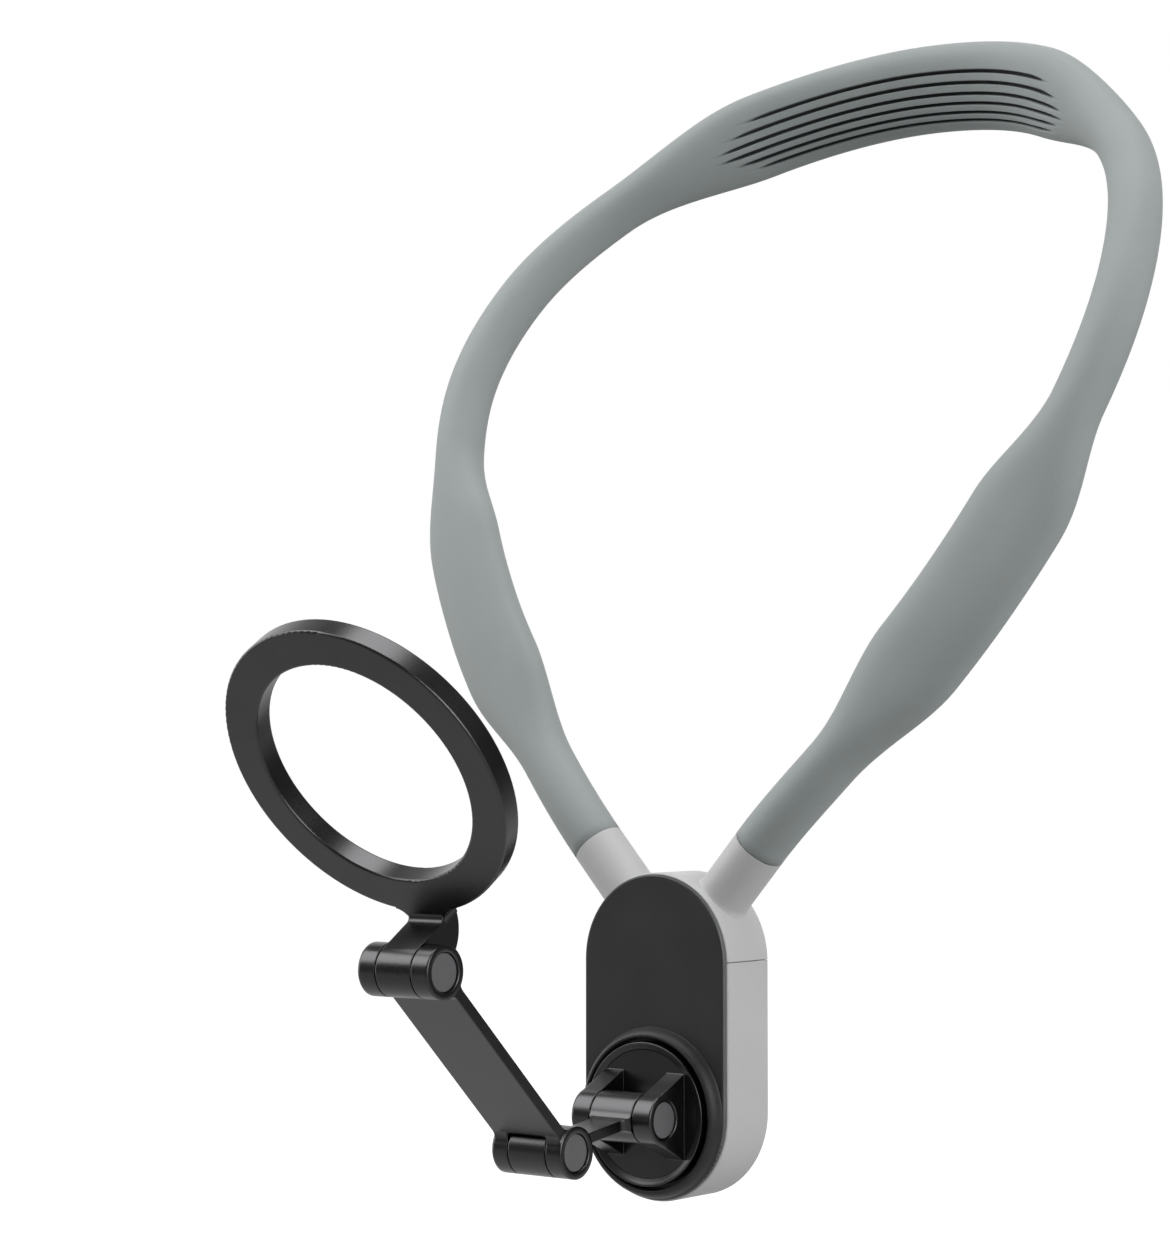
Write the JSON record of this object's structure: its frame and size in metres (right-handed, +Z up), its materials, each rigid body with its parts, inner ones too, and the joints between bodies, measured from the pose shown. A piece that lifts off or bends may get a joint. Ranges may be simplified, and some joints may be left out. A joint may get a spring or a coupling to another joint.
{
  "type": "magnetic chest phone mount",
  "caption": "Neck-worn chest mount: padded bendable neck loop, small pill-shaped housing with a turntable, and a folding hinged arm that carries a magnetic phone ring.",
  "frame": {"origin": "middle of the housing's flat back face, which lies on the chest", "axes": "+X is the viewer's right facing the housing, +Y points into the chest, +Z is up"},
  "size_m": [0.165, 0.1969, 0.2357],
  "materials": {
    "silicone": "soft matte grey-green silicone",
    "core_steel": "drawn soft steel rod",
    "steel": "zinc-plated steel",
    "dark_steel": "black oxide steel",
    "casing": "fine satin light grey moulding",
    "plate": "fine satin black moulding",
    "bezel": "black anodised, turned edge",
    "arm_metal": "dark grey anodised aluminium, fine blasted",
    "cap_plastic": "satin dark grey",
    "friction_plastic": "white low-friction polymer",
    "magnet": "nickel-plated magnet",
    "pad": "thin soft dark pad"
  },
  "bodies": {
    "housing": {"neck_sleeve": "silicone", "neck_core": "core_steel", "core_ferrules": "steel", "ferrule_screws": "dark_steel", "yoke_shell": "casing", "lower_shell": "casing", "front_plate": "plate", "bezel_ring": "bezel", "case_screws": "steel", "disc_spring": "steel"},
    "turntable": {"turntable": "arm_metal", "spindle_washer": "steel", "spindle_screw": "dark_steel", "base_bolt": "dark_steel", "base_nut": "steel", "base_caps": "cap_plastic", "base_washers": "friction_plastic"},
    "short_link": {"short_link": "arm_metal"},
    "long_link": {"long_link": "arm_metal", "link_bolts": "dark_steel", "link_nuts": "steel", "link_caps": "cap_plastic", "link_washers": "friction_plastic"},
    "ring": {"ring_frame": "arm_metal", "steel_ring": "steel", "magnet_arcs": "magnet", "ring_pad": "pad"}
  },
  "joints": [
    {"name": "turntable_spin", "type": "hinge", "parent": "housing", "child": "turntable", "pos_m": [0, -0.0172, -0.0142], "axis": [0, -1, 0], "continuous": true},
    {"name": "base_hinge", "type": "hinge", "parent": "turntable", "child": "short_link", "pos_m": [0, -0.0231, -0.0142], "axis": [-1, 0, 0], "range_deg": [-45, 20]},
    {"name": "middle_hinge", "type": "hinge", "parent": "short_link", "child": "long_link", "pos_m": [0, -0.04763, -0.01782], "axis": [-1, 0, 0], "range_deg": [-45, 15]},
    {"name": "ring_hinge", "type": "hinge", "parent": "long_link", "child": "ring", "pos_m": [0, -0.08339, 0.01611], "axis": [-1, 0, 0], "range_deg": [-105, 30]}
  ]
}
